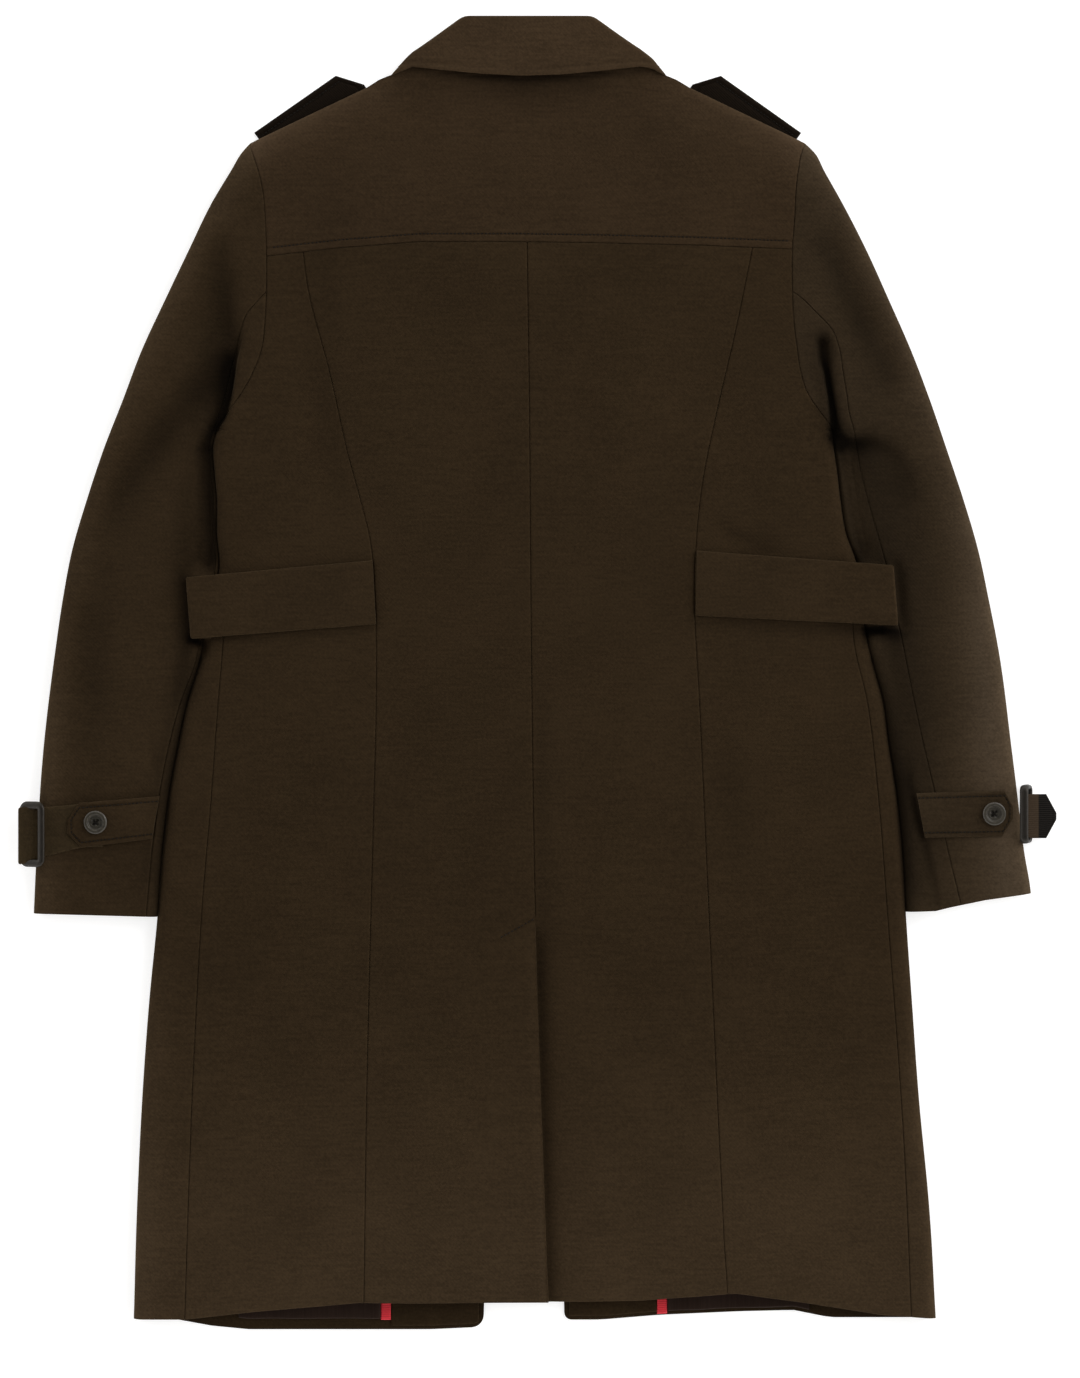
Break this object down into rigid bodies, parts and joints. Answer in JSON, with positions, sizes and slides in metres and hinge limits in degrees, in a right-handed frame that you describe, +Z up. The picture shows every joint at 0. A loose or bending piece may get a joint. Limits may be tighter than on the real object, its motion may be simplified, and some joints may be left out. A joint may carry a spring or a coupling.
{
  "type": "military overcoat",
  "caption": "Brown wool military overcoat laid flat with its back up: yoke, turned collar, half belts, long vent, and sleeves with buttoned cuff tabs and buckles",
  "frame": {"origin": "middle of the laid coat's outline, on the surface that it lies on", "axes": "+X across the coat to the right as the picture shows it, +Y along the centre back towards the collar, +Z up from the surface"},
  "size_m": [0.8621, 1.092, 0.0226],
  "materials": {
    "wool": "milled brown overcoat wool",
    "strap_wool": "dark ribbed strap backing",
    "satin_lining": "dark satin lining",
    "red_piping": "red woven piping",
    "horn": "polished dark horn",
    "buckle_metal": "blackened metal"
  },
  "bodies": {
    "root": {"yoke": "wool", "collar_fall": "wool", "collar_stand": "wool", "back_left": "wool", "back_right": "wool", "side_back_left": "wool", "side_back_right": "wool", "front_left": "wool", "front_right": "wool", "sleeve_upper_left": "wool", "sleeve_upper_right": "wool", "sleeve_under_left": "wool", "sleeve_under_right": "wool", "belt_left": "wool", "belt_right": "wool", "cuff_tab_left": "wool", "cuff_tab_right": "wool", "cuff_strap_left": "wool", "cuff_strap_right": "wool", "facing_left": "wool", "facing_right": "wool", "epaulette_left": "strap_wool", "epaulette_right": "strap_wool", "lining_left": "satin_lining", "lining_right": "satin_lining", "piping_left": "red_piping", "piping_right": "red_piping", "button_left": "horn", "button_right": "horn", "buckle_left": "buckle_metal", "buckle_right": "buckle_metal"}
  },
  "joints": []
}
